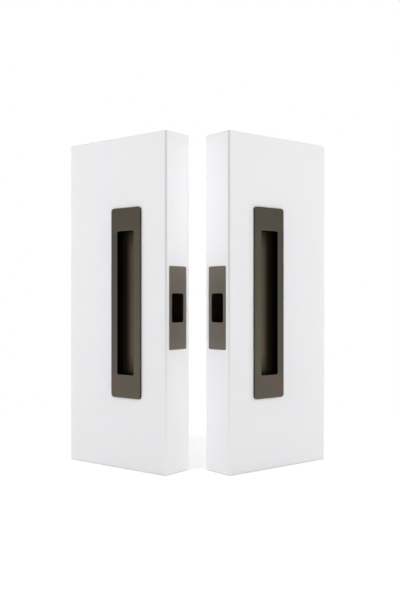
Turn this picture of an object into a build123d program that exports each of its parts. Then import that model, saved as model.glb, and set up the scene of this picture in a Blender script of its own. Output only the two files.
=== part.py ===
from build123d import *

import os
from math import cos, radians, sin

# Passage set for a pair of sliding door leaves that meet in the middle.
# Two short door sections stand side by side, each turned outward. Each section
# carries a flush pull on both faces, tied together through the door by two
# screws, and an edge pull let flush into its meeting edge.
# All sizes are in millimetres and angles in degrees. Z is up, X runs across
# the pair, and the front faces look towards -Y.

# Door sections
leaf_width = 122.0
leaf_thickness = 33.0
leaf_height = 306.4
leaf_turn = 37.7
meeting_gap = 15.2
arris_ease = 1.4
upright_ease = 0.8
end_ease = 0.8

# Flush pulls
pull_length = 175.0
pull_width = 36.0
pull_corner = 3.0
pull_backset = 47.0
flange_thickness = 2.2
flange_ease = 0.35
mouth_length = 132.0
mouth_width = 20.0
mouth_corner = 1.5
mouth_ease = 0.4
lip_depth = 2.0
trough_wall = 1.6
shell_corner = 3.0
mortise_clearance = 0.5

# Posts behind the front pulls
post_diameter = 8.0
post_length = 14.0
post_clearance = 0.25

# Countersunk screws that tie the front and the rear pull together
tie_diameter = 4.0
tie_head_diameter = 8.0
tie_tip_cover = 5.5
tie_hole_clearance = 0.2
tie_tip_gap = 1.0

# Edge pulls
plate_length = 75.0
plate_width = 24.4
plate_thickness = 3.0
plate_corner = 1.5
plate_ease = 0.3
plate_drop = 4.5
plate_clearance = 0.15
slot_length = 26.0
slot_width = 16.0
slot_corner = 2.0
slot_ease = 0.3
pocket_undercut = 5.0
pocket_side = 1.0
pocket_wall = 1.5
pocket_corner = 2.0
pocket_back = 2.5
pocket_clearance = 0.5
pocket_web = 7.0

# Pan-headed screws that hold the edge pull through the back of its pocket
edge_screw_pitch = 17.0
edge_screw_diameter = 4.0
edge_screw_length = 20.0
edge_head_diameter = 7.4
edge_head_height = 2.2
edge_hole_clearance = 0.2
pilot_gap = 1.0

# Where the countersinks, fixings and seats fall
mouth_radius = mouth_width / 2
trough_centre = lip_depth - flange_thickness
trough_reach = trough_centre + mouth_radius + trough_wall
mortise_width = 2 * (mouth_radius + trough_wall + mortise_clearance)
fixing_height = (pull_length + mouth_length) / 4
tie_length = leaf_thickness + flange_thickness - tie_tip_cover
pocket_reach = pull_backset - mortise_width / 2 - pocket_web - pocket_clearance
pocket_depth = pocket_reach - pocket_back
countersink_angle = 90

# Each section's directions: along the face away from the meeting edge, and
# out of the front face. The pair's bounding box is centred on the origin.
turn = radians(leaf_turn)


def ease_reach(ease):
    """How far a chamfered upright corner stops short of the sharp one, along Y."""
    return ease * min(sin(turn), cos(turn))


corner_x = meeting_gap / 2 + leaf_thickness * sin(turn)
front_y = ease_reach(arris_ease)
back_y = leaf_width * sin(turn) + leaf_thickness * cos(turn) - ease_reach(upright_ease)
corner_y = -(front_y + back_y) / 2


def face_plane(origin, normal):
    """A seat on an upright face: its Z is the face's normal and its Y is up."""
    return Plane(origin=origin, x_dir=Vector(0, 0, 1).cross(normal), z_dir=normal)


def cross_section(seat):
    """The level plane through a seat, with X across it and Y into the door."""
    return Plane(origin=seat.origin, x_dir=seat.x_dir, z_dir=seat.y_dir)


def trough(seat, wall, corner):
    """The round-bottomed trough grown outward by a wall, or its hollow with none."""
    radius = mouth_radius + wall
    with BuildPart() as body:
        with BuildSketch(cross_section(seat)):
            with BuildLine():
                Polyline(
                    (radius, trough_centre),
                    (radius, -flange_thickness),
                    (-radius, -flange_thickness),
                    (-radius, trough_centre),
                )
                CenterArc((0, trough_centre), radius, 0, 180)
            make_face()
        extrude(amount=mouth_length / 2 + wall, both=True)
        with BuildSketch(seat.offset(flange_thickness)):
            RectangleRounded(2 * radius, mouth_length + 2 * wall, corner)
        extrude(amount=-flange_thickness - trough_reach, mode=Mode.INTERSECT)
    return body.part


def flush_pull(seat, is_front, label):
    """A cast flush pull: flange, trough, and two threaded posts or countersunk holes."""
    front = seat.offset(flange_thickness)
    hollow = trough(seat, 0, mouth_corner)
    shell = trough(seat, trough_wall, shell_corner)
    with BuildPart() as pull:
        with BuildSketch(seat):
            RectangleRounded(pull_width, pull_length, pull_corner)
        extrude(amount=flange_thickness)
        outline = pull.faces().sort_by(Axis(seat.origin, seat.z_dir))[-1].edges()
        chamfer(outline, flange_ease)
        add(shell)
        add(hollow, mode=Mode.SUBTRACT)
        mouth = pull.faces().sort_by(Axis(seat.origin, seat.z_dir))[-1].inner_wires().edges()
        chamfer(mouth, mouth_ease)
        if is_front:
            with BuildSketch(seat):
                with GridLocations(0, 2 * fixing_height, 1, 2):
                    Circle(post_diameter / 2)
            extrude(amount=-post_length)
            with BuildSketch(seat.offset(-post_length)):
                with GridLocations(0, 2 * fixing_height, 1, 2):
                    Circle(tie_diameter / 2)
            extrude(amount=post_length - tie_tip_cover + tie_tip_gap, mode=Mode.SUBTRACT)
        else:
            with Locations(front):
                with GridLocations(0, 2 * fixing_height, 1, 2):
                    CounterSinkHole(
                        tie_diameter / 2 + tie_hole_clearance,
                        tie_head_diameter / 2,
                        counter_sink_angle=countersink_angle,
                    )
    pull.part.label = label
    return pull.part


def edge_pull(seat, label):
    """A cast edge pull: a flush plate with a finger slot and a wider pocket behind."""
    cavity_width = slot_width + 2 * pocket_side
    cavity_length = slot_length + 2 * pocket_undercut
    with BuildPart() as pull:
        with BuildSketch(seat):
            RectangleRounded(plate_width, plate_length, plate_corner)
        extrude(amount=-plate_thickness)
        rim = pull.faces().sort_by(Axis(seat.origin, seat.z_dir))[-1].edges()
        chamfer(rim, plate_ease)
        with BuildSketch(seat.offset(-plate_thickness)):
            RectangleRounded(
                cavity_width + 2 * pocket_wall,
                cavity_length + 2 * pocket_wall,
                pocket_corner + pocket_wall,
            )
        extrude(amount=plate_thickness - pocket_reach)
        with BuildSketch(seat.offset(-plate_thickness)):
            RectangleRounded(cavity_width, cavity_length, pocket_corner)
        extrude(amount=plate_thickness - pocket_depth, mode=Mode.SUBTRACT)
        with BuildSketch(seat):
            RectangleRounded(slot_width, slot_length, slot_corner)
        extrude(amount=-plate_thickness, mode=Mode.SUBTRACT)
        lip = pull.faces().sort_by(Axis(seat.origin, seat.z_dir))[-1].inner_wires().edges()
        chamfer(lip, slot_ease)
        with Locations(seat.offset(-pocket_depth)):
            with GridLocations(0, edge_screw_pitch, 1, 2):
                Hole(edge_screw_diameter / 2 + edge_hole_clearance, depth=pocket_back)
    pull.part.label = label
    return pull.part


def tie_screw(head, label):
    """A countersunk screw, level with its head plane and running straight back."""
    profile = Plane(origin=head.origin, x_dir=head.x_dir, z_dir=-head.y_dir)
    cone_depth = (tie_head_diameter - tie_diameter) / 2
    with BuildPart() as screw:
        with BuildSketch(profile):
            with BuildLine():
                Polyline(
                    (0, 0),
                    (tie_head_diameter / 2, 0),
                    (tie_diameter / 2, -cone_depth),
                    (tie_diameter / 2, -tie_length),
                    (0, -tie_length),
                    close=True,
                )
            make_face()
        revolve(axis=Axis(head.origin, head.z_dir))
    screw.part.label = label
    return screw.part


def edge_screw(head, label):
    """A pan-headed screw that sits on its head plane and runs straight back."""
    with BuildPart() as screw:
        with BuildSketch(head):
            Circle(edge_head_diameter / 2)
        extrude(amount=edge_head_height)
        with BuildSketch(head):
            Circle(edge_screw_diameter / 2)
        extrude(amount=-edge_screw_length)
    screw.part.label = label
    return screw.part


def door_section(footing, arris, front, rear, edge, label):
    """A painted door section with its mortises, tie holes and screw holes."""
    cavity_width = slot_width + 2 * (pocket_side + pocket_wall + pocket_clearance)
    cavity_length = slot_length + 2 * (pocket_undercut + pocket_wall + pocket_clearance)
    with BuildPart() as section:
        with BuildSketch(footing):
            Rectangle(leaf_width, leaf_thickness)
        extrude(amount=leaf_height)
        uprights = section.edges().filter_by(Axis.Z).sort_by_distance(arris)
        chamfer(uprights[1:], upright_ease)
        chamfer(section.edges().filter_by(Axis.Z).sort_by_distance(arris)[0], arris_ease)
        ends = section.faces().filter_by(Axis.Z)
        chamfer(ends.edges(), end_ease)
        for seat in (front, rear):
            with BuildSketch(seat):
                RectangleRounded(
                    mortise_width,
                    mouth_length + 2 * (trough_wall + mortise_clearance),
                    shell_corner,
                )
            extrude(amount=-trough_reach - mortise_clearance, mode=Mode.SUBTRACT)
        with BuildSketch(front):
            with GridLocations(0, 2 * fixing_height, 1, 2):
                Circle(post_diameter / 2 + post_clearance)
        extrude(amount=-leaf_thickness, mode=Mode.SUBTRACT)
        with BuildSketch(edge):
            RectangleRounded(
                plate_width + 2 * plate_clearance,
                plate_length + 2 * plate_clearance,
                plate_corner + plate_clearance,
            )
        extrude(amount=-plate_thickness, mode=Mode.SUBTRACT)
        with BuildSketch(edge):
            RectangleRounded(cavity_width, cavity_length, pocket_corner + pocket_wall)
        extrude(amount=-pocket_reach - pocket_clearance, mode=Mode.SUBTRACT)
        with BuildSketch(edge.offset(-pocket_depth)):
            with GridLocations(0, edge_screw_pitch, 1, 2):
                Circle(edge_screw_diameter / 2)
        extrude(amount=-edge_screw_length - pilot_gap, mode=Mode.SUBTRACT)
    section.part.label = label
    return section.part


def passage_half(side_name, side):
    """One door section with its two flush pulls, its edge pull and their screws."""
    along = Vector(side * cos(turn), sin(turn), 0)
    out = Vector(side * sin(turn), -cos(turn), 0)
    up = Vector(0, 0, 1)
    corner = Vector(side * corner_x, corner_y, 0)
    pull_centre = corner + along * pull_backset + up * (leaf_height / 2)
    plate_centre = corner - out * (leaf_thickness / 2) + up * (leaf_height / 2 - plate_drop)

    footing = Plane(
        origin=corner + along * (leaf_width / 2) - out * (leaf_thickness / 2),
        x_dir=along,
        z_dir=up,
    )
    front = face_plane(pull_centre, out)
    rear = face_plane(pull_centre - out * leaf_thickness, -out)
    edge = face_plane(plate_centre, -along)

    pieces = [
        door_section(footing, corner, front, rear, edge, f"{side_name}_door_section"),
        flush_pull(front, True, f"{side_name}_front_flush_pull"),
        flush_pull(rear, False, f"{side_name}_rear_flush_pull"),
        edge_pull(edge, f"{side_name}_edge_pull"),
    ]
    for height_name, height in (("upper", 1), ("lower", -1)):
        tie_head = Plane(
            origin=rear.origin + out * -flange_thickness + up * (height * fixing_height),
            x_dir=rear.x_dir,
            z_dir=rear.z_dir,
        )
        pieces.append(tie_screw(tie_head, f"{side_name}_{height_name}_tie_screw"))
        edge_head = Plane(
            origin=edge.origin + along * pocket_depth + up * (height * edge_screw_pitch / 2),
            x_dir=edge.x_dir,
            z_dir=edge.z_dir,
        )
        pieces.append(edge_screw(edge_head, f"{side_name}_{height_name}_edge_screw"))
    return pieces


os.makedirs("parts", exist_ok=True)
for side_name, side in (("left", -1), ("right", 1)):
    for piece in passage_half(side_name, side):
        export_step(piece, f"parts/{piece.label}.step")
        print(f"{piece.label}: {piece.volume / 1000:.2f} cm3")
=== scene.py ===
# %% [markdown]
# A passage set for a pair of sliding doors
#
# Two short sections of white painted door stand side by side, turned outward so
# that the face and the meeting edge of each can be seen at once. Every section
# carries a dark bronze flush pull on both faces and a small edge pull in the
# edge where the two leaves meet. The fingers go into the trough of a flush pull
# to slide the door, and into the slot of an edge pull to draw it out of a wall.
#
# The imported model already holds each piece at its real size. It is loaded as a
# fixed frame, so no piece here is fitted by eye: this script reads places from
# the frame, softens the edges, cuts the threads and gives each piece a finish.

# %% Load the frame
from math import cos, pi, radians, sin

import bmesh
import bpy
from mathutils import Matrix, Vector


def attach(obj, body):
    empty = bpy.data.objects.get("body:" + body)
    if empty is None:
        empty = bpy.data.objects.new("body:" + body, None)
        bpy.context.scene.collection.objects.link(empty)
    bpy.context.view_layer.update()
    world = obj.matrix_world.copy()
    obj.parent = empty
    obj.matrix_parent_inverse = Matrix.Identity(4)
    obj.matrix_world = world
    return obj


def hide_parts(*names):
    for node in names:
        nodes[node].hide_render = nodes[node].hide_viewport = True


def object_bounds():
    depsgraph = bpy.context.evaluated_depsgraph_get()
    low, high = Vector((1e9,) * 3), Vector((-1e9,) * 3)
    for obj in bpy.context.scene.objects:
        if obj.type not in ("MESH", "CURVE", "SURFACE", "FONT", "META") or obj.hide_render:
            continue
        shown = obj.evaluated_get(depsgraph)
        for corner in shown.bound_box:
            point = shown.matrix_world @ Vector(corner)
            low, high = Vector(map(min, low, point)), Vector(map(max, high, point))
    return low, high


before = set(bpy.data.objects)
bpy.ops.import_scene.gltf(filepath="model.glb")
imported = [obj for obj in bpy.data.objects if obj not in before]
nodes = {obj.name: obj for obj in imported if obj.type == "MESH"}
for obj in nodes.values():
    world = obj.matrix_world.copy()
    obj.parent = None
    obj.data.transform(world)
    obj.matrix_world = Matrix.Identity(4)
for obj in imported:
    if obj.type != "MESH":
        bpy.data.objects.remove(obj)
cad_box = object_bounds()
print("CAD nodes:", len(nodes), "box:", [[round(v, 4) for v in corner] for corner in cad_box])

# %% [markdown]
# The directions of a door leaf
#
# On the real stand each leaf is turned away from the viewer by the same angle,
# one to the left and one to the right. A piece of hardware is easiest to think
# of in its leaf's own directions: along the face away from the meeting edge,
# straight out of the front face, and up. One small function gives them for a
# side. Another measures a node along any direction, which is how the marks and
# the screws find their places further down.

# %% Leaf directions and a measuring rule
MM = 0.001
LEAF_TURN = radians(37.7)
SIDES = {"left": -1, "right": 1}
UP = Vector((0, 0, 1))


def leaf_directions(side_name):
    """Along the face away from the meeting edge, and out of the front face."""
    side = SIDES[side_name]
    along = Vector((side * cos(LEAF_TURN), sin(LEAF_TURN), 0))
    out = Vector((side * sin(LEAF_TURN), -cos(LEAF_TURN), 0))
    return along, out


def reach(node_name, direction):
    """The least and the greatest distance of a node's points along a direction."""
    distances = [vertex.co.dot(direction) for vertex in nodes[node_name].data.vertices]
    return min(distances), max(distances)


for side_name in SIDES:
    along, out = leaf_directions(side_name)
    near, far = reach(f"{side_name}_door_section", along)
    back, front = reach(f"{side_name}_door_section", out)
    print(side_name, "leaf", round((far - near) / MM, 1), "by", round((front - back) / MM, 1), "mm")

# %% [markdown]
# Softening the edges of a casting or a painted board
#
# No edge of the real set is knife sharp. The castings are tumbled and brushed
# before they are bronzed, and paint pulls back from a sharp corner, so a joiner
# takes the arris off first. The frame has these edges as flat chamfers. They
# could be hidden with a smooth shading trick, but a highlight only runs along an
# edge that is truly round, so each chamfer's two long edges are bevelled again.
# The copy of a node is merged first, because its triangles come in loose.

# %% A copy with rounded chamfers
MERGE_DISTANCE = 0.002 * MM
FLAT_ANGLE = radians(0.5)
CHAMFER_ANGLES = (radians(28), radians(62))
SHARP_ANGLE = radians(32)


def shade_smooth(shape):
    """Smooth faces, with every fold past the sharp angle kept as a crisp edge."""
    for face in shape.faces:
        face.smooth = True
    for edge in shape.edges:
        folded = len(edge.link_faces) == 2 and edge.calc_face_angle() > SHARP_ANGLE
        edge.smooth = not folded


def softened_copy(node_name, piece_name, edge_reach, segments):
    """A merged copy of a CAD node whose chamfers are rounded over."""
    shape = bmesh.new()
    shape.from_mesh(nodes[node_name].data)
    bmesh.ops.remove_doubles(shape, verts=shape.verts, dist=MERGE_DISTANCE)
    bmesh.ops.dissolve_limit(shape, angle_limit=FLAT_ANGLE, verts=shape.verts, edges=shape.edges)
    chamfers = []
    for edge in shape.edges:
        if len(edge.link_faces) == 2 and edge.is_convex:
            if CHAMFER_ANGLES[0] < edge.calc_face_angle() < CHAMFER_ANGLES[1]:
                chamfers.append(edge)
    bmesh.ops.bevel(
        shape,
        geom=chamfers,
        offset=edge_reach,
        offset_type="OFFSET",
        segments=segments,
        profile=0.5,
        affect="EDGES",
        clamp_overlap=True,
    )
    shade_smooth(shape)
    mesh = bpy.data.meshes.new(piece_name)
    shape.to_mesh(mesh)
    shape.free()
    piece = bpy.data.objects.new(piece_name, mesh)
    bpy.context.scene.collection.objects.link(piece)
    return piece


print("rounding chamfers between", [round(angle, 2) for angle in CHAMFER_ANGLES], "radians")

# %% [markdown]
# Keeping flat faces flat
#
# Smooth shading blends a normal over every face that meets at a corner, which
# makes a large flat face look swollen beside its thin bevel. A Weighted Normal
# modifier lets the large faces rule. It is turned into plain mesh data straight
# away, so that the finished piece carries no live modifier.

# %% Weighted normals, applied
def with_flat_faces(piece):
    """The piece with its large flat faces ruling the normals, as a plain mesh."""
    modifier = piece.modifiers.new("flat faces first", "WEIGHTED_NORMAL")
    modifier.keep_sharp = True
    bpy.context.view_layer.update()
    evaluated = piece.evaluated_get(bpy.context.evaluated_depsgraph_get())
    settled = bpy.data.meshes.new_from_object(evaluated)
    piece.modifiers.remove(modifier)
    piece.data = settled
    return piece


print("large flat faces will rule the normals")

# %% [markdown]
# Marks on the mesh
#
# Some colours follow the form: painted shade on a corner and in a recess, and a
# lighter edge, part wear and part painted highlight. It could be painted by hand, or
# worked out in the shader from the place of each point, but a number stored on the mesh is plainer.
# Kept on face corners rather than on vertices, it can stop dead at an edge. Where
# it has to start part of the way up a long face, that face first needs a loop.

# %% Level loops and marks
def add_level_loops(piece, heights):
    """Edge loops at some heights, so that a mark can start or stop there."""
    shape = bmesh.new()
    shape.from_mesh(piece.data)
    for height in heights:
        everything = shape.verts[:] + shape.edges[:] + shape.faces[:]
        bmesh.ops.bisect_plane(shape, geom=everything, plane_co=UP * height, plane_no=UP)
    shape.to_mesh(piece.data)
    shape.free()


def mark_corners(piece, attribute_name, value_at):
    """Stores a number on every corner of every face, worked out from its place and normal."""
    mesh = piece.data
    attribute = mesh.attributes.new(attribute_name, "FLOAT", "CORNER")
    values = []
    for loop, corner_normal in zip(mesh.loops, mesh.corner_normals):
        values.append(value_at(mesh.vertices[loop.vertex_index].co, corner_normal.vector))
    attribute.data.foreach_set("value", values)
    print(piece.name, attribute_name, "mean", round(sum(values) / len(values), 3))


print("marks are stored on face corners")

# %% [markdown]
# Helpers for node trees
#
# Materials, the world and the screws are all built from nodes, and a few helpers
# keep that readable. One adds a node with its settings and links in a single
# call, and one starts a node group with named sockets. The others are steps that
# come back again and again: a sum, a mix and a stretched noise. The Mix node has
# sockets of its own for each kind of value and gives them all the same names, so
# they are called by number: 2 and 3 are its plain values, 6 and 7 its colours.

# %% Helpers for node trees
def add_node(tree, kind, inputs=None, **settings):
    """A new node with its settings made and its inputs filled or linked."""
    node = tree.nodes.new(kind)
    for name, value in settings.items():
        setattr(node, name, value)
    for key, value in (inputs or {}).items():
        socket = node.inputs[key]
        if isinstance(value, bpy.types.NodeSocket):
            tree.links.new(value, socket)
        else:
            socket.default_value = value
    return node


def calc(tree, operation, *values, **settings):
    """The result of one Math node."""
    inputs = dict(enumerate(values))
    return add_node(tree, "ShaderNodeMath", inputs, operation=operation, **settings).outputs[0]


def mix_colours(tree, amount, first, second):
    """A colour that goes from the first to the second as the amount grows."""
    inputs = {0: amount, 6: first, 7: second}
    return add_node(tree, "ShaderNodeMix", inputs, data_type="RGBA").outputs[2]


def mix_values(tree, amount, first, second):
    """A number that goes from the first to the second as the amount grows."""
    return add_node(tree, "ShaderNodeMix", {0: amount, 2: first, 3: second}).outputs[0]


def new_group(name, kind, inputs, outputs):
    """An empty node group with named sockets, and its two end nodes."""
    tree = bpy.data.node_groups.new(name, kind)
    for label, socket_kind, value in inputs:
        socket = tree.interface.new_socket(label, in_out="INPUT", socket_type=socket_kind)
        if value is not None:
            socket.default_value = value
    for label, socket_kind in outputs:
        tree.interface.new_socket(label, in_out="OUTPUT", socket_type=socket_kind)
    return tree, tree.nodes.new("NodeGroupInput"), tree.nodes.new("NodeGroupOutput")


def stretched_noise(tree, upright_stretch, scale, detail):
    """Noise on the piece's own place, drawn out along Z where the stretch is below one."""
    place = add_node(tree, "ShaderNodeTexCoord").outputs["Object"]
    stretch = add_node(tree, "ShaderNodeCombineXYZ", {"X": 1.0, "Y": 1.0, "Z": upright_stretch})
    stretched = add_node(
        tree, "ShaderNodeVectorMath", {0: place, 1: stretch.outputs[0]}, operation="MULTIPLY"
    )
    inputs = {"Vector": stretched.outputs[0], "Scale": scale, "Detail": detail}
    return add_node(tree, "ShaderNodeTexNoise", inputs).outputs[0]


print("helpers ready in Blender", bpy.app.version_string)

# %% [markdown]
# Cloudy patina, a group that several finishes share
#
# Bronzed metal is never one brown. The bath leaves it in soft clouds, some
# greener and some redder, about a centimetre across, and hand rubbing draws them
# out up and down. A sprayed board has the same kind of slow change, wider and much
# fainter. One noise texture stretched along Z makes both, so it lives in a group
# with its own inputs and each material gives it two colours of its own.

# %% The cloudy patina group
def cloudy_patina_group():
    """Two colours that drift into each other in soft upright clouds."""
    tree, given, result = new_group(
        "cloudy patina",
        "ShaderNodeTree",
        [
            ("Cloud Scale", "NodeSocketFloat", 90.0),
            ("Upright Stretch", "NodeSocketFloat", 0.5),
            ("Contrast", "NodeSocketFloat", 1.0),
            ("First Colour", "NodeSocketColor", (0.15, 0.13, 0.11, 1)),
            ("Second Colour", "NodeSocketColor", (0.14, 0.14, 0.11, 1)),
        ],
        [("Colour", "NodeSocketColor"), ("Clouds", "NodeSocketFloat")],
    )
    wanted = given.outputs
    noise = stretched_noise(tree, wanted["Upright Stretch"], wanted["Cloud Scale"], detail=2.0)
    centred = calc(tree, "SUBTRACT", noise, 0.5)
    spread = calc(tree, "MULTIPLY_ADD", centred, wanted["Contrast"], 0.5, use_clamp=True)
    mixed = mix_colours(tree, spread, wanted["First Colour"], wanted["Second Colour"])
    tree.links.new(mixed, result.inputs["Colour"])
    tree.links.new(spread, result.inputs["Clouds"])
    return tree


cloudy_patina = cloudy_patina_group()
print("group:", cloudy_patina.name, "with", len(cloudy_patina.nodes), "nodes")

# %% [markdown]
# Fine surface, the second shared group
#
# Up close the castings show faint upright brushing under the bronzing, the board
# shows the tiny ripple that sprayers call orange peel, and a blackened screw has
# a dull grain. All three are one noise at different scales and stretches. The
# group puts out a roughness and a height, and the bump itself stays in the
# material, next to the shader that it feeds.

# %% The fine surface group
def fine_surface_group():
    """A roughness that varies a little and a height for the material's bump."""
    tree, given, result = new_group(
        "fine surface",
        "ShaderNodeTree",
        [
            ("Grain Scale", "NodeSocketFloat", 900.0),
            ("Upright Stretch", "NodeSocketFloat", 1.0),
            ("Roughness", "NodeSocketFloat", 0.4),
            ("Roughness Spread", "NodeSocketFloat", 0.05),
        ],
        [("Roughness", "NodeSocketFloat"), ("Height", "NodeSocketFloat")],
    )
    wanted = given.outputs
    grain = stretched_noise(tree, wanted["Upright Stretch"], wanted["Grain Scale"], detail=3.0)
    centred = calc(tree, "SUBTRACT", grain, 0.5)
    rough = calc(tree, "MULTIPLY_ADD", centred, wanted["Roughness Spread"], wanted["Roughness"])
    tree.links.new(rough, result.inputs["Roughness"])
    tree.links.new(grain, result.inputs["Height"])
    return tree


fine_surface = fine_surface_group()
print("group:", fine_surface.name, "with", len(fine_surface.nodes), "nodes")

# %% [markdown]
# One recipe for all the finishes
#
# Paint, bronze and screw steel differ only in numbers, so one function builds
# them all: clouds for the colour, fine surface for the roughness and the bump.
# Where a finish changes with the form, such as a lighter edge or painted shade in
# a recess, a mark stored on the mesh brings in another colour. Each mark is a named
# attribute, so it stays on its edge from every side, which a colour painted in space would not.

# %% The recipe
def finish(name, clouds, surface, bump_height, bump_strength, metallic, marks=()):
    """A material from the two shared groups. Each mark is an attribute and its own colour."""
    material = bpy.data.materials.new(name)
    material.use_nodes = True
    tree = material.node_tree
    shader = tree.nodes["Principled BSDF"]
    patina = add_node(tree, "ShaderNodeGroup", node_tree=cloudy_patina)
    for key, value in clouds.items():
        patina.inputs[key].default_value = value
    grain = add_node(tree, "ShaderNodeGroup", node_tree=fine_surface)
    for key, value in surface.items():
        grain.inputs[key].default_value = value
    colour = patina.outputs["Colour"]
    for attribute_name, mark_colour in marks:
        marked = add_node(tree, "ShaderNodeAttribute", attribute_name=attribute_name)
        colour = mix_colours(tree, marked.outputs["Fac"], colour, mark_colour)
    bump = add_node(
        tree,
        "ShaderNodeBump",
        {"Height": grain.outputs["Height"], "Distance": bump_height, "Strength": bump_strength},
    )
    tree.links.new(colour, shader.inputs["Base Color"])
    tree.links.new(grain.outputs["Roughness"], shader.inputs["Roughness"])
    tree.links.new(bump.outputs["Normal"], shader.inputs["Normal"])
    shader.inputs["Metallic"].default_value = metallic
    print("material:", name, "with", len(tree.nodes), "nodes")
    return material


# %% [markdown]
# White satin paint
#
# The board is sprayed with a white satin enamel. A brush would leave streaks,
# and the photograph shows none, so the only relief is a trace of orange peel.
# The white stays below full white, as real paint does, and the lamps are set so
# that it doesn't clip. A fine grey line down the front corner of each leaf is
# painted shade: a grey mixed into the white on the arris, by a mark stored on
# the mesh a few cells further down.

# %% Paint
# The grey of the painted shade on the front arris of each leaf.
ARRIS_SHADE_GREY = (0.60, 0.60, 0.605, 1)

white_paint = finish(
    "white satin enamel",
    clouds={
        "Cloud Scale": 14.0,
        "Upright Stretch": 0.6,
        "Contrast": 1.6,
        "First Colour": (0.842, 0.838, 0.854, 1),
        "Second Colour": (0.864, 0.860, 0.874, 1),
    },
    surface={
        "Grain Scale": 620.0,
        "Upright Stretch": 0.8,
        "Roughness": 0.38,
        "Roughness Spread": 0.06,
    },
    bump_height=0.02 * MM,
    bump_strength=0.35,
    metallic=0.0,
    marks=[("painted_arris_shade", ARRIS_SHADE_GREY)],
)

# %% [markdown]
# Dark bronze
#
# The pulls are cast in brass, brushed up and down and darkened in a bronzing
# bath. Beside the trough, the rim nearest the meeting edge takes an olive tone,
# and the rim away from it a greyer, darker one. The floor of the trough keeps
# more of the brown. Its ends, the steep wall of any recess and the side of a plate
# get painted shade, a near-black mixed into the bronze. A narrow front edge is
# lighter, part wear and part painted highlight. Each of these is a mark on the
# mesh with a colour of its own, because they all follow the form.
#
# The edge pulls are a lighter copy of the bronze with a softer shine. That
# lightness is painted light, standing for the brighter reflection the edge plates catch.

# %% Bronze
# The near-black of the painted shade in the bronze.
PAINTED_SHADE_BRONZE = (0.045, 0.036, 0.024, 1)
BRONZE_MARKS = [
    # An olive tone on the rim toward the meeting edge.
    ("olive_near_rim", (0.178, 0.168, 0.115, 1)),
    # A greyer, darker tone on the rim away from the meeting edge.
    ("grey_far_rim", (0.113, 0.122, 0.121, 1)),
    ("browned", (0.209, 0.164, 0.113, 1)),
    # Lighter narrow front edges: part wear, part painted highlight.
    ("worn_and_highlit_edge", (0.385, 0.365, 0.322, 1)),
    # Painted shade toward both ends of the trough.
    ("painted_trough_end_shade", PAINTED_SHADE_BRONZE),
    # Painted shade on recess walls, plate sides and all that lies deep behind the front.
    ("painted_recess_shade", PAINTED_SHADE_BRONZE),
]


def bronze(name, brown, green, roughness, metallic):
    """Brushed bronze in two patina colours, with the marks' colours mixed in, painted shade among
    them.
    """
    return finish(
        name,
        clouds={
            "Cloud Scale": 70.0,
            "Upright Stretch": 0.45,
            "Contrast": 2.6,
            "First Colour": brown,
            "Second Colour": green,
        },
        surface={
            "Grain Scale": 5200.0,
            "Upright Stretch": 0.03,
            "Roughness": roughness,
            "Roughness Spread": 0.10,
        },
        bump_height=0.01 * MM,
        bump_strength=0.25,
        metallic=metallic,
        marks=BRONZE_MARKS,
    )


dark_bronze = bronze(
    "dark bronze",
    brown=(0.186, 0.146, 0.123, 1),
    green=(0.159, 0.146, 0.112, 1),
    roughness=0.36,
    metallic=1.0,
)
# A lighter copy of the bronze: painted light for the brighter reflection on the edge plates.
lightened_edge_pull_bronze = bronze(
    "lightened bronze of the edge pulls",
    brown=(0.232, 0.188, 0.158, 1),
    green=(0.209, 0.198, 0.158, 1),
    roughness=0.42,
    metallic=0.5,
)

# %% [markdown]
# Blackened steel
#
# Screws for such a set are blackened so that they disappear in the bronze. Oil
# blacking takes unevenly on a small turned part, so the clouds are tight.

# %% Screw steel
dark_steel = finish(
    "blackened screw steel",
    clouds={
        "Cloud Scale": 400.0,
        "Upright Stretch": 1.0,
        "Contrast": 1.5,
        "First Colour": (0.075, 0.070, 0.066, 1),
        "Second Colour": (0.055, 0.054, 0.053, 1),
    },
    surface={
        "Grain Scale": 3000.0,
        "Upright Stretch": 1.0,
        "Roughness": 0.42,
        "Roughness Spread": 0.10,
    },
    bump_height=0.01 * MM,
    bump_strength=0.2,
    metallic=1.0,
)

# %% [markdown]
# Standing in for a CAD node
#
# A finished piece rides on the body of the node that it replaces. This set has
# no moving joint, so that is always the one body called root.

# %% Dressing a piece
def dress(piece, node_names, material):
    """Gives a piece its finish and lets it stand for its CAD nodes."""
    piece.data.materials.clear()
    piece.data.materials.append(material)
    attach(piece, "root")
    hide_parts(*node_names)
    print(piece.name, "has", len(piece.data.polygons), "faces")
    return piece


# %% [markdown]
# The door sections
#
# Each is one board with its mortises, and its widest arris is the one at the
# front of the meeting edge, which is what gets knocked. That arris gets painted
# shade, a grey that is strongest near the top and fades on the way down. The
# mark passes one in the upper part, where the Mix node holds it at full. A vertex
# group could carry it too, but an attribute on the face corners stops dead at
# the edge of the arris.

# %% Door sections
DOOR_ROUNDING = 0.35 * MM
DOOR_ROUNDING_STEPS = 3
ARRIS_FACING = 0.3
ARRIS_SHADE_AT_TOP = 1.6


def painted_arris_shade_at(along, out):
    """Painted shade at a corner: only on the front arris of the meeting edge, strongest at the top.
    """
    def arris_shade(place, normal):
        on_arris = -normal.dot(along) > ARRIS_FACING and normal.dot(out) > ARRIS_FACING
        return ARRIS_SHADE_AT_TOP * place.z / cad_box[1].z if on_arris else 0.0

    return arris_shade


for side_name in SIDES:
    along, out = leaf_directions(side_name)
    node_name = f"{side_name}_door_section"
    piece_name = f"{side_name}_painted_door_section"
    board = softened_copy(node_name, piece_name, DOOR_ROUNDING, DOOR_ROUNDING_STEPS)
    with_flat_faces(board)
    # Painted shade: grey on the front arris of the meeting edge, fading downward.
    mark_corners(board, "painted_arris_shade", painted_arris_shade_at(along, out))
    dress(board, [node_name], white_paint)

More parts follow.
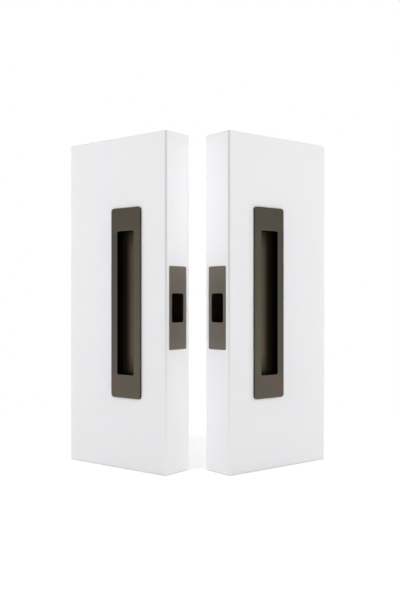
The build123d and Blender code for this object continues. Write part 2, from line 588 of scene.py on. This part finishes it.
# %% [markdown]
# Where the bronze gets painted shade
#
# Four measures at a corner set its marks: how squarely its normal faces out,
# how deep it lies behind the front, how far it is toward either side, and whether
# it looks inward, toward the middle of the piece. A wall that looks inward is a
# recess and takes the full painted shade. One that looks outward is only the side
# of the plate and takes part of it. Everything deep behind the front takes it all.

# %% Measures on a casting
def share_between(value, start, end):
    """None at the start, all at the end, and in step between them."""
    return min(1.0, max(0.0, (value - start) / (end - start)))


def front_middle(node_name, along, outward):
    """The point in the middle of a casting's front face."""
    across = sum(reach(node_name, along)) / 2
    height = sum(reach(node_name, UP)) / 2
    return along * across + outward * reach(node_name, outward)[1] + UP * height


for side_name in SIDES:
    along, out = leaf_directions(side_name)
    middle = front_middle(f"{side_name}_front_flush_pull", along, out)
    print(side_name, "flush pull's front is centred at", [round(v / MM, 1) for v in middle], "mm")

# %% [markdown]
# Marks that every casting has
#
# The wall of a recess gets painted shade as it turns away from facing out. On a
# rounded trough that happens little by little, so the mark rises between two
# facings instead of switching over at one. The rounded front edge is the opposite
# case: it is narrow, at the very front and slanted, and it is made lighter, part
# wear and part painted highlight.

# %% Painted shade on walls, worn and highlit edges
# Facings between which the painted shade rises from none to full.
SHADE_START_FACING = 0.94
SHADE_FULL_FACING = 0.72
# Part of the painted shade, on the outward side of a plate.
PLATE_SIDE_PAINTED_SHADE = 0.60
EDGE_FACING = (0.2, 0.97)


def painted_recess_shade_at(middle, outward, open_depth):
    """How much painted shade falls on a corner of a casting that looks outward."""
    def shade(place, normal):
        from_middle = place - middle
        facing = normal.dot(outward)
        looks_inward = (normal - outward * facing).dot(from_middle) < 0
        if -from_middle.dot(outward) > open_depth:
            return 1.0
        steep = share_between(facing, SHADE_START_FACING, SHADE_FULL_FACING)
        return steep * (1.0 if looks_inward else PLATE_SIDE_PAINTED_SHADE)

    return shade


def worn_and_highlit_edge_at(middle, outward, edge_depth):
    """Full on the narrow rounded edges right at the front of a casting: part wear, part painted
    highlight.
    """
    def edge_lightness(place, normal):
        at_front = -(place - middle).dot(outward) < edge_depth
        slanted = EDGE_FACING[0] < normal.dot(outward) < EDGE_FACING[1]
        return 1.0 if at_front and slanted else 0.0

    return edge_lightness


print("painted shade rises between facings", SHADE_START_FACING, "and", SHADE_FULL_FACING)

# %% [markdown]
# Marks of the trough and of its rims
#
# These rules are for the flush pulls alone. Brown rises over the lip of the
# trough, painted shade darkens it over a zone toward each end, and the two rims
# beside it take their own tones, one toward each side. Above and below the trough
# the plate keeps the plain patina, so that mark fades out at its ends.

# %% Trough and rims
TROUGH_END_SHADE = 0.75
BESIDE_STRENGTH = 0.6


def browned_at(middle, outward, start, end):
    """Rising with the depth of a trough, from the start to the end of its lip."""
    def brown(place, normal):
        return share_between(-(place - middle).dot(outward), start, end)

    return brown


def painted_trough_end_shade_at(middle, outward, lip_depth, half_length, zone):
    """Painted shade rising toward both ends of a trough, over a zone at each end."""
    def shade(place, normal):
        from_middle = place - middle
        inside = -from_middle.dot(outward) > lip_depth
        end = share_between(abs(from_middle.z), half_length - zone, half_length)
        return TROUGH_END_SHADE * end if inside else 0.0

    return shade


def beside_trough_at(middle, toward, half_width, half_length, fade):
    """Rising across the plate toward one side, and only where the trough runs beside it."""
    def share(place, normal):
        from_middle = place - middle
        across = share_between(from_middle.dot(toward), 0.0, half_width)
        level = share_between(abs(from_middle.z), half_length + fade, half_length - fade)
        return BESIDE_STRENGTH * across * level

    return share


print("the ends of a trough are darkened by up to", TROUGH_END_SHADE)

# %% [markdown]
# The flush pulls
#
# A flush pull is the hand's part of the set: a plate that stands a little proud
# of the door with a round-bottomed trough behind it. The front one carries two
# posts at its back and the rear one two countersinks, and both are in the frame
# already, so the same few lines finish all four castings.

# %% Flush pulls
PULL_ROUNDING = 0.14 * MM
PULL_ROUNDING_STEPS = 3
PULL_EDGE_DEPTH = 0.5 * MM
LIP_DEPTHS = (0.6 * MM, 3.0 * MM)
TROUGH_DEPTH = 12.3 * MM
HALF_TROUGH = 66 * MM
TROUGH_END_ZONE = 18.5 * MM
BESIDE_FADE = 4 * MM
LOOP_HEIGHTS = (
    HALF_TROUGH - TROUGH_END_ZONE,
    HALF_TROUGH - BESIDE_FADE,
    HALF_TROUGH + BESIDE_FADE,
)

for side_name in SIDES:
    along, out = leaf_directions(side_name)
    for face_name, outward in (("front", out), ("rear", -out)):
        node_name = f"{side_name}_{face_name}_flush_pull"
        middle = front_middle(node_name, along, outward)
        low, high = reach(node_name, along)
        half_width = (high - low) / 2
        pull = softened_copy(node_name, f"{node_name}_casting", PULL_ROUNDING, PULL_ROUNDING_STEPS)
        add_level_loops(pull, [middle.z + end * height for height in LOOP_HEIGHTS for end in (-1, 1)])
        with_flat_faces(pull)
        # An olive tone on the rim toward the meeting edge, a greyer, darker one away from it.
        for mark_name, toward in (("olive_near_rim", -along), ("grey_far_rim", along)):
            beside = beside_trough_at(middle, toward, half_width, HALF_TROUGH, BESIDE_FADE)
            mark_corners(pull, mark_name, beside)
        mark_corners(pull, "browned", browned_at(middle, outward, *LIP_DEPTHS))
        # Lighter narrow front edges: part wear, part painted highlight.
        mark_corners(pull, "worn_and_highlit_edge", worn_and_highlit_edge_at(middle, outward, PULL_EDGE_DEPTH))
        # Painted shade toward both ends of the trough.
        end_at = painted_trough_end_shade_at(middle, outward, LIP_DEPTHS[0], HALF_TROUGH, TROUGH_END_ZONE)
        mark_corners(pull, "painted_trough_end_shade", end_at)
        # Painted shade on recess walls, plate sides and all that lies deep behind the front.
        mark_corners(pull, "painted_recess_shade", painted_recess_shade_at(middle, outward, TROUGH_DEPTH))
        dress(pull, [node_name], dark_bronze)

# %% [markdown]
# The edge pulls
#
# An edge pull is let in flush with the meeting edge: a plate with a finger slot
# that opens into a wider pocket, so that a fingertip can hook behind the plate.
# Everything behind the plate gets a near-black painted shade, so the slot
# looks like a black window.

# %% Edge pulls
PLATE_ROUNDING = 0.12 * MM
PLATE_ROUNDING_STEPS = 2
PLATE_EDGE_DEPTH = 0.4 * MM
PLATE_THICKNESS = 3.0 * MM

for side_name in SIDES:
    along, out = leaf_directions(side_name)
    node_name = f"{side_name}_edge_pull"
    middle = front_middle(node_name, out, -along)
    pull = softened_copy(node_name, f"{node_name}_casting", PLATE_ROUNDING, PLATE_ROUNDING_STEPS)
    with_flat_faces(pull)
    # Lighter narrow front edges: part wear, part painted highlight.
    mark_corners(pull, "worn_and_highlit_edge", worn_and_highlit_edge_at(middle, -along, PLATE_EDGE_DEPTH))
    # Painted shade on the slot walls, the pocket and the plate's sides.
    mark_corners(pull, "painted_recess_shade", painted_recess_shade_at(middle, -along, PLATE_THICKNESS - PLATE_EDGE_DEPTH))
    dress(pull, [node_name], lightened_edge_pull_bronze)

# %% [markdown]
# The screws
#
# Two machine screws tie the rear pull to the posts of the front one, right
# through the door, and two short wood screws hold each edge pull through the
# back of its pocket. A screw is a profile turned round its axis, with a thread
# that winds along it. It could be swept as a helix, but a Geometry Nodes tree
# does it with a grid: one direction of the grid goes round the screw, the other
# runs from the crown of the head to the tip, and a cosine that turns with both
# cuts the thread. The same tree then cuts the cross recess and sets the screw on
# every seat, so all eight come from one description.

# %% What the tree is given
AROUND = 24
HEAD_ROWS = 8
SCREW_INPUTS = [
    ("Seats", "NodeSocketGeometry", None),
    ("Head Diameter", "NodeSocketFloat", 8 * MM),
    ("Head Rise", "NodeSocketFloat", 0.0),
    ("Head Sink", "NodeSocketFloat", 2 * MM),
    ("Shank Diameter", "NodeSocketFloat", 4 * MM),
    ("Length", "NodeSocketFloat", 30 * MM),
    ("Thread Start", "NodeSocketFloat", 16 * MM),
    ("Thread Pitch", "NodeSocketFloat", 0.7 * MM),
    ("Thread Depth", "NodeSocketFloat", 0.35 * MM),
    ("Thread Rows", "NodeSocketInt", 160),
    ("Point Length", "NodeSocketFloat", 0.4 * MM),
    ("Recess Width", "NodeSocketFloat", 4 * MM),
    ("Recess Depth", "NodeSocketFloat", 1.6 * MM),
    ("Finish", "NodeSocketMaterial", None),
]
print("the screw tree takes", len(SCREW_INPUTS), "inputs")

# %% [markdown]
# From a grid to a turned screw
#
# Each point of the grid knows its index, and the index alone says which ring it
# is on and how far round. The first rings open from the crown of the head out to
# its rim, the next one lies under the head, and the rest carry the thread. It
# comes up to its full depth over the first twenty-fifth of its length, as it does
# where a die starts to bite.

# %% Rings of the head and the shank
THREAD_RUN_IN = 25.0


def choose(tree, condition, otherwise, value):
    """The value where the condition holds, and otherwise the other one."""
    inputs = {"Switch": condition, "False": otherwise, "True": value}
    return add_node(tree, "GeometryNodeSwitch", inputs, input_type="FLOAT").outputs[0]


def head_ring(tree, size, ring):
    """Radius and height of a ring on the head, from its crown out to its rim."""
    rise_angle = calc(tree, "SUBTRACT", pi / 2, calc(tree, "MULTIPLY", ring, pi / 2 / HEAD_ROWS))
    flatness = calc(tree, "SQRT", calc(tree, "COSINE", rise_angle))
    doming = calc(tree, "SQRT", calc(tree, "SINE", rise_angle))
    radius = calc(tree, "MULTIPLY", calc(tree, "MULTIPLY", flatness, size["Head Diameter"]), 0.5)
    return radius, calc(tree, "MULTIPLY", doming, size["Head Rise"])


def shank_ring(tree, size, ring, angle):
    """Radius and height of a ring on the shank, with the thread cut into it."""
    step = calc(tree, "SUBTRACT", ring, HEAD_ROWS + 2)  # the ring under the head is step -1
    last_step = calc(tree, "SUBTRACT", size["Thread Rows"], 1.0)
    share = calc(tree, "DIVIDE", calc(tree, "MAXIMUM", step, 0.0), last_step)
    threaded = calc(tree, "SUBTRACT", size["Length"], size["Thread Start"])
    thread_depth = calc(tree, "MULTIPLY_ADD", share, threaded, size["Thread Start"])
    under_head = calc(tree, "LESS_THAN", step, -0.5)
    depth = choose(tree, under_head, thread_depth, size["Head Sink"])
    turns = calc(tree, "DIVIDE", depth, size["Thread Pitch"])
    wave = calc(tree, "COSINE", calc(tree, "MULTIPLY_ADD", turns, 2 * pi, angle))
    groove = calc(tree, "MULTIPLY_ADD", wave, -0.5, 0.5)
    run_in = calc(tree, "MINIMUM", calc(tree, "MULTIPLY", share, THREAD_RUN_IN), 1.0)
    cut = calc(tree, "MULTIPLY", calc(tree, "MULTIPLY", groove, run_in), size["Thread Depth"])
    full_radius = calc(tree, "SUBTRACT", calc(tree, "MULTIPLY", size["Shank Diameter"], 0.5), cut)
    to_tip = calc(tree, "SUBTRACT", size["Length"], depth)
    taper = calc(tree, "MINIMUM", calc(tree, "DIVIDE", to_tip, size["Point Length"]), 1.0)
    radius = calc(tree, "MULTIPLY", full_radius, taper)
    return radius, calc(tree, "MULTIPLY", depth, -1.0)


print("a head has", HEAD_ROWS, "rings of", AROUND, "points")

# %% [markdown]
# Bending the grid
#
# The index gives the ring by its remainder and the column by its quotient. Set
# Position then moves every point onto its ring. The first and the last column
# land on the same line and the ends shrink to a point, so Merge by Distance
# closes the form, and a closed form is what a Boolean needs.

# %% The turned form
SCREW_MERGE_DISTANCE = 0.001 * MM


def turned_screw(tree, size):
    """A closed screw bent from a grid, point by point."""
    ring_count = calc(tree, "ADD", size["Thread Rows"], HEAD_ROWS + 2)
    grid = add_node(
        tree,
        "GeometryNodeMeshGrid",
        {"Size X": 1.0, "Size Y": 1.0, "Vertices X": AROUND + 1, "Vertices Y": ring_count},
    )
    index = add_node(tree, "GeometryNodeInputIndex").outputs[0]
    ring = calc(tree, "MODULO", index, ring_count)
    column = calc(tree, "FLOOR", calc(tree, "DIVIDE", index, ring_count))
    angle = calc(tree, "MULTIPLY", column, 2 * pi / AROUND)
    head_radius, head_height = head_ring(tree, size, ring)
    shank_radius, shank_height = shank_ring(tree, size, ring, angle)
    is_head = calc(tree, "LESS_THAN", ring, HEAD_ROWS + 0.5)
    radius = choose(tree, is_head, shank_radius, head_radius)
    height = choose(tree, is_head, shank_height, head_height)
    place_x = calc(tree, "MULTIPLY", radius, calc(tree, "COSINE", angle))
    place_y = calc(tree, "MULTIPLY", radius, calc(tree, "SINE", angle))
    place = add_node(tree, "ShaderNodeCombineXYZ", {"X": place_x, "Y": place_y, "Z": height})
    inputs = {"Geometry": grid.outputs["Mesh"], "Position": place.outputs[0]}
    bent = add_node(tree, "GeometryNodeSetPosition", inputs)
    inputs = {"Geometry": bent.outputs[0], "Distance": SCREW_MERGE_DISTANCE}
    return add_node(tree, "GeometryNodeMergeByDistance", inputs).outputs[0]


# %% [markdown]
# The cross recess
#
# A driver's cross is two thin slabs cut out of the head. A bump or a dark decal
# would do from afar, but it would be missing from the mesh, so a Mesh Boolean
# takes two boxes away.

# %% Recess
RECESS_SHARE = 0.24


def with_recess(tree, size, screw):
    """The screw with a driver's cross cut into its head."""
    thin = calc(tree, "MULTIPLY", size["Recess Width"], RECESS_SHARE)
    tall = calc(tree, "MULTIPLY", size["Recess Depth"], 2.0)  # half stands above the head
    lift = add_node(tree, "ShaderNodeCombineXYZ", {"Z": size["Head Rise"]}).outputs[0]
    cut = add_node(
        tree, "GeometryNodeMeshBoolean", {"Mesh 1": screw}, operation="DIFFERENCE", solver="EXACT"
    )
    for width, breadth in ((size["Recess Width"], thin), (thin, size["Recess Width"])):
        extent = add_node(tree, "ShaderNodeCombineXYZ", {"X": width, "Y": breadth, "Z": tall})
        arm = add_node(tree, "GeometryNodeMeshCube", {"Size": extent.outputs[0]})
        inputs = {"Geometry": arm.outputs["Mesh"], "Translation": lift}
        lifted = add_node(tree, "GeometryNodeTransform", inputs)
        tree.links.new(lifted.outputs[0], cut.inputs["Mesh 2"])
    return cut.outputs["Mesh"]


print("an arm of the cross is", RECESS_SHARE, "of its width thick")

# %% [markdown]
# The seats
#
# Each seat is one point with a direction named facing, and Instance on Points
# turns a screw to look the way its seat does. Realize Instances and Set Material
# come last, because the export drops instances.

# %% Seats and the whole tree
def on_every_seat(tree, size, screw):
    """One real screw on each seat, facing the way that the seat does."""
    facing = add_node(
        tree, "GeometryNodeInputNamedAttribute", {"Name": "facing"}, data_type="FLOAT_VECTOR"
    )
    aimed = add_node(
        tree, "FunctionNodeAlignRotationToVector", {"Vector": facing.outputs["Attribute"]}, axis="Z"
    )
    inputs = {"Points": size["Seats"], "Instance": screw, "Rotation": aimed.outputs[0]}
    placed = add_node(tree, "GeometryNodeInstanceOnPoints", inputs)
    real = add_node(tree, "GeometryNodeRealizeInstances", {"Geometry": placed.outputs[0]})
    inputs = {"Geometry": real.outputs[0], "Material": size["Finish"]}
    return add_node(tree, "GeometryNodeSetMaterial", inputs).outputs[0]


def threaded_screw_tree():
    """The whole tree: turn a screw from a grid, cut its recess, set it on each seat."""
    tree, given, result = new_group(
        "threaded screw", "GeometryNodeTree", SCREW_INPUTS, [("Screws", "NodeSocketGeometry")]
    )
    size = given.outputs
    screw = with_recess(tree, size, turned_screw(tree, size))
    tree.links.new(on_every_seat(tree, size, screw), result.inputs["Screws"])
    return tree


screw_tree = threaded_screw_tree()
print("tree:", screw_tree.name, "with", len(screw_tree.nodes), "nodes")

# %% [markdown]
# Setting the screws
#
# Each seat is measured from the CAD screw that stands there, and so are the
# lengths. The tree's inputs are set by the identifiers of their sockets before
# the object is first evaluated. The result is made a plain mesh, its faces are
# turned outward and its sharp edges are marked, and only then does it take the
# place of the CAD screws.

# %% Screws from seats
def turn_outward(piece):
    """Faces pointing outward, edges shaded, and a word on whether the mesh is closed."""
    shape = bmesh.new()
    shape.from_mesh(piece.data)
    bmesh.ops.recalc_face_normals(shape, faces=shape.faces)
    shade_smooth(shape)
    open_edges = sum(1 for edge in shape.edges if len(edge.link_faces) != 2)
    volume = round(shape.calc_volume() / MM**3, 1)
    print(piece.name, "open edges", open_edges, "volume", volume, "mm3")
    shape.to_mesh(piece.data)
    shape.free()


def set_screws(piece_name, node_names, seats, facings, sizes):
    """Runs the screw tree on the seats and lets its mesh stand for the CAD screws."""
    mesh = bpy.data.meshes.new(piece_name)
    mesh.from_pydata(seats, [], [])
    directions = mesh.attributes.new("facing", "FLOAT_VECTOR", "POINT")
    directions.data.foreach_set("vector", [value for facing in facings for value in facing])
    piece = bpy.data.objects.new(piece_name, mesh)
    bpy.context.scene.collection.objects.link(piece)
    modifier = piece.modifiers.new("screws", "NODES")
    modifier.node_group = screw_tree
    for item in screw_tree.interface.items_tree:
        if item.in_out == "INPUT" and item.name in sizes:
            modifier[item.identifier] = sizes[item.name]
    bpy.context.view_layer.update()
    evaluated = piece.evaluated_get(bpy.context.evaluated_depsgraph_get())
    piece.data = bpy.data.meshes.new_from_object(evaluated)
    piece.modifiers.remove(modifier)
    turn_outward(piece)
    return dress(piece, node_names, dark_steel)


print("screws are set by their sockets' identifiers")

# %% [markdown]
# Both kinds of screw
#
# The tie screws have flat countersunk heads, level with the rear plates. The edge
# screws have domed pan heads, which stand on the back of a pocket where only a
# driver reaches through the slot. A pan head's seat lies under its dome, so it is
# measured back from the top of the head.

# %% Tie screws and edge screws
EDGE_HEAD_RISE = 2.2 * MM


def seats_of(kind, head_rise, facing_of):
    """The names, seats, facings and length of all the CAD screws of one kind."""
    names, seats, facings = [], [], []
    for side_name in SIDES:
        facing = facing_of(side_name)
        sideways = UP.cross(facing)
        for height_name in ("upper", "lower"):
            node_name = f"{side_name}_{height_name}_{kind}"
            tip, top = reach(node_name, facing)
            across = sum(reach(node_name, sideways)) / 2
            height = sum(reach(node_name, UP)) / 2
            names.append(node_name)
            seats.append(facing * (top - head_rise) + sideways * across + UP * height)
            facings.append(facing)
    length = top - head_rise - tip
    print(kind, "is", round(length / MM, 1), "mm long under its head plane")
    return names, seats, facings, length


def out_of_rear_face(side_name):
    """The way that the head of a tie screw looks."""
    return -leaf_directions(side_name)[1]


def out_of_meeting_edge(side_name):
    """The way that the head of an edge screw looks."""
    return -leaf_directions(side_name)[0]


names, seats, facings, length = seats_of("tie_screw", 0.0, out_of_rear_face)
set_screws("tie_screws", names, seats, facings, {"Length": length, "Finish": dark_steel})

names, seats, facings, length = seats_of("edge_screw", EDGE_HEAD_RISE, out_of_meeting_edge)
set_screws(
    "edge_screws",
    names,
    seats,
    facings,
    {
        "Head Diameter": 7.4 * MM,
        "Head Rise": EDGE_HEAD_RISE,
        "Head Sink": 0.0,
        "Length": length,
        "Thread Start": 4 * MM,
        "Thread Pitch": 1.8 * MM,
        "Thread Depth": 0.6 * MM,
        "Thread Rows": 90,
        "Point Length": 4 * MM,
        "Recess Width": 3.6 * MM,
        "Recess Depth": 1.5 * MM,
        "Finish": dark_steel,
    },
)

# %% [markdown]
# The floor
#
# The set stands on white studio paper. A real sweep of paper goes up behind the
# object, and the camera sees no line where it bends. Here a large flat sheet
# does the same against a white world. Light Path's Is Camera Ray adds a little
# glow that only the camera sees: the paper looks white without throwing more
# light on the bronze, and a faint soft shadow under the doors stays. Mirror rays
# miss the sheet, because the world stands for the paper in the bronze.

# %% Floor
FLOOR_REACH = 6.0

floor_mesh = bpy.data.meshes.new("studio_floor")
corners = [(-1, -1), (1, -1), (1, 1), (-1, 1)]
places = [(x * FLOOR_REACH, y * FLOOR_REACH, 0) for x, y in corners]
floor_mesh.from_pydata(places, [], [(0, 1, 2, 3)])
floor = bpy.data.objects.new("studio_floor", floor_mesh)
bpy.context.scene.collection.objects.link(floor)
floor.visible_glossy = False
print("floor", floor.name, "reaches", FLOOR_REACH, "m each way")

# %% [markdown]
# White paper that keeps a shadow
#
# Near the doors, where the shadow has to show, the glow is added to a plain
# diffuse white. With the distance from them a Mix Shader goes over to a white of
# exactly one, the same as the world's. The far edge of the sheet can't be seen
# then, and no white far above one eats into the doors' outlines.

# %% Floor paper
PAPER_WHITE = (0.8, 0.8, 0.8, 1)
FULL_WHITE = (1, 1, 1, 1)
FLOOR_LIFT = 0.30
WHITE_FROM = 0.20
WHITE_FULL = 0.45

floor_paper = bpy.data.materials.new("white studio paper")
floor_paper.use_nodes = True
tree = floor_paper.node_tree
tree.nodes.remove(tree.nodes["Principled BSDF"])
paper = add_node(tree, "ShaderNodeBsdfDiffuse", {"Color": PAPER_WHITE})
seen = add_node(tree, "ShaderNodeLightPath").outputs["Is Camera Ray"]
lift = calc(tree, "MULTIPLY", seen, FLOOR_LIFT)
glow = add_node(tree, "ShaderNodeEmission", {"Color": FULL_WHITE, "Strength": lift})
lit_paper = add_node(tree, "ShaderNodeAddShader", {0: paper.outputs[0], 1: glow.outputs[0]})
spot = add_node(tree, "ShaderNodeTexCoord").outputs["Object"]
away = add_node(tree, "ShaderNodeVectorMath", {0: spot}, operation="LENGTH").outputs["Value"]
rising = add_node(
    tree, "ShaderNodeMapRange", {"Value": away, "From Min": WHITE_FROM, "From Max": WHITE_FULL}
)
share = calc(tree, "MULTIPLY", seen, rising.outputs["Result"])
white = add_node(tree, "ShaderNodeEmission", {"Color": FULL_WHITE, "Strength": 1.0})
sheet = add_node(
    tree, "ShaderNodeMixShader", {0: share, 1: lit_paper.outputs[0], 2: white.outputs[0]}
)
tree.links.new(sheet.outputs[0], tree.nodes["Material Output"].inputs["Surface"])
floor_mesh.materials.append(floor_paper)
print("paper lifted by", FLOOR_LIFT, "near the doors and plain white from", WHITE_FULL, "m")

# %% [markdown]
# The world that the bronze mirrors
#
# Dark metal is drawn by what it reflects. In the photograph the plates mirror
# bright panels at both sides and a dark studio behind the camera, which is why
# the trough goes from nearly black to brown in one smooth sweep. A gradient on
# the direction of the glossy rays stands for those panels: it brightens toward
# left and right, a little more toward the floor, and straight up and down,
# where the ceiling and the paper are. The camera sees plain white, and all other
# rays get one even, low light.

# %% World
AMBIENT = 0.22
GLOSS_DARK = 0.135
GLOSS_SIDE = 0.67
GLOSS_FALL = 1.9
GLOSS_RANGE = (0.68, 1.35)
GLOSS_UPRIGHT = 0.4

world = bpy.data.worlds.new("soft studio")
bpy.context.scene.world = world
world.use_nodes = True
tree = world.node_tree
background = tree.nodes["Background"]
place = add_node(tree, "ShaderNodeTexCoord").outputs["Generated"]
direction = add_node(tree, "ShaderNodeSeparateXYZ", {0: place}).outputs
sideways = calc(tree, "MULTIPLY", direction["X"], direction["X"])
panels = calc(tree, "MULTIPLY_ADD", sideways, GLOSS_SIDE - GLOSS_DARK, GLOSS_DARK)
falling = calc(tree, "MULTIPLY_ADD", direction["Z"], -GLOSS_FALL, 1.0)
least, most = GLOSS_RANGE
held = add_node(tree, "ShaderNodeClamp", {"Value": falling, "Min": least, "Max": most}).outputs[0]
up_or_down = calc(tree, "MULTIPLY", direction["Z"], direction["Z"])
upright = calc(tree, "MULTIPLY", up_or_down, GLOSS_UPRIGHT)
mirrored = calc(tree, "MULTIPLY_ADD", panels, held, upright)
rays = add_node(tree, "ShaderNodeLightPath").outputs
seen_plain = calc(tree, "MAXIMUM", rays["Is Camera Ray"], rays["Is Transmission Ray"])
lit = mix_values(tree, rays["Is Glossy Ray"], AMBIENT, mirrored)
tree.links.new(mix_values(tree, seen_plain, lit, 1.0), background.inputs["Strength"])
background.inputs["Color"].default_value = FULL_WHITE
print("world", world.name, "lights paint at", AMBIENT, "with side panels of", GLOSS_SIDE, "in bronze")

# %% [markdown]
# The lamps
#
# Two tall softboxes at the front, one for each face, keep the two leaves equal.
# They stand above the camera, so the plate of a flush pull throws a thin soft
# shadow below itself, and they are narrow, so that neither leaf shades the edge
# of the other. Two more behind do the same for the rear faces. A small one at
# each side lifts the outer part of the faces a little, and two overhead keep the
# tops from going grey. The power is set so that the paint stays below white. In
# the bronze the world stands for these boxes, so mirror rays miss them.

# %% Lamps
AIM = Vector((0, 0, 0.155))
SOFTBOXES = {
    "front": {"place": (0.750, -0.725, 0.60), "size": (0.30, 0.60), "watts": 5.7},
    "rear": {"place": (0.85, 0.75, 0.55), "size": (0.30, 0.60), "watts": 5.8},
    "side": {"place": (0.50, 0.08, 0.20), "size": (0.15, 0.30), "watts": 0.2},
    "ceiling": {"place": (0.25, 0.00, 1.35), "size": (0.50, 0.50), "watts": 1.0},
}

for row_name, softbox in SOFTBOXES.items():
    for side_name, side in SIDES.items():
        lamp_data = bpy.data.lights.new(f"{row_name}_{side_name}_softbox", "AREA")
        lamp_data.shape = "RECTANGLE"
        lamp_data.size, lamp_data.size_y = softbox["size"]
        lamp_data.energy = softbox["watts"]
        lamp = bpy.data.objects.new(lamp_data.name, lamp_data)
        x, y, z = softbox["place"]
        lamp.location = (side * x, y, z)
        lamp.rotation_euler = (AIM - lamp.location).to_track_quat("-Z", "Y").to_euler()
        lamp.visible_camera = False
        lamp.visible_glossy = False
        bpy.context.scene.collection.objects.link(lamp)
        print(lamp.name, round(lamp.location.length, 2), "m away,", lamp_data.energy, "W")

# %% [markdown]
# The camera
#
# The photograph was taken from straight in front, level with the middle of the
# doors and three quarters of a metre away. Its place was worked out from the
# slant of the doors' top and bottom edges. A small shift puts the pair where the
# photograph has it without turning the camera.

# %% Camera
CAMERA_PLACE = (0.0, -0.7393, 0.1558)
LENS = 46.78
SHIFT_RIGHT = 0.0042

camera_data = bpy.data.cameras.new("photo_camera")
camera_data.lens = LENS
camera_data.shift_x = SHIFT_RIGHT
camera = bpy.data.objects.new("photo_camera", camera_data)
camera.location = CAMERA_PLACE
camera.rotation_euler = (pi / 2, 0, 0)
bpy.context.scene.collection.objects.link(camera)
bpy.context.scene.camera = camera
bpy.context.scene.view_settings.view_transform = "Standard"
print("camera", round(camera.location.length, 3), "m from the doors, lens", camera_data.lens, "mm")
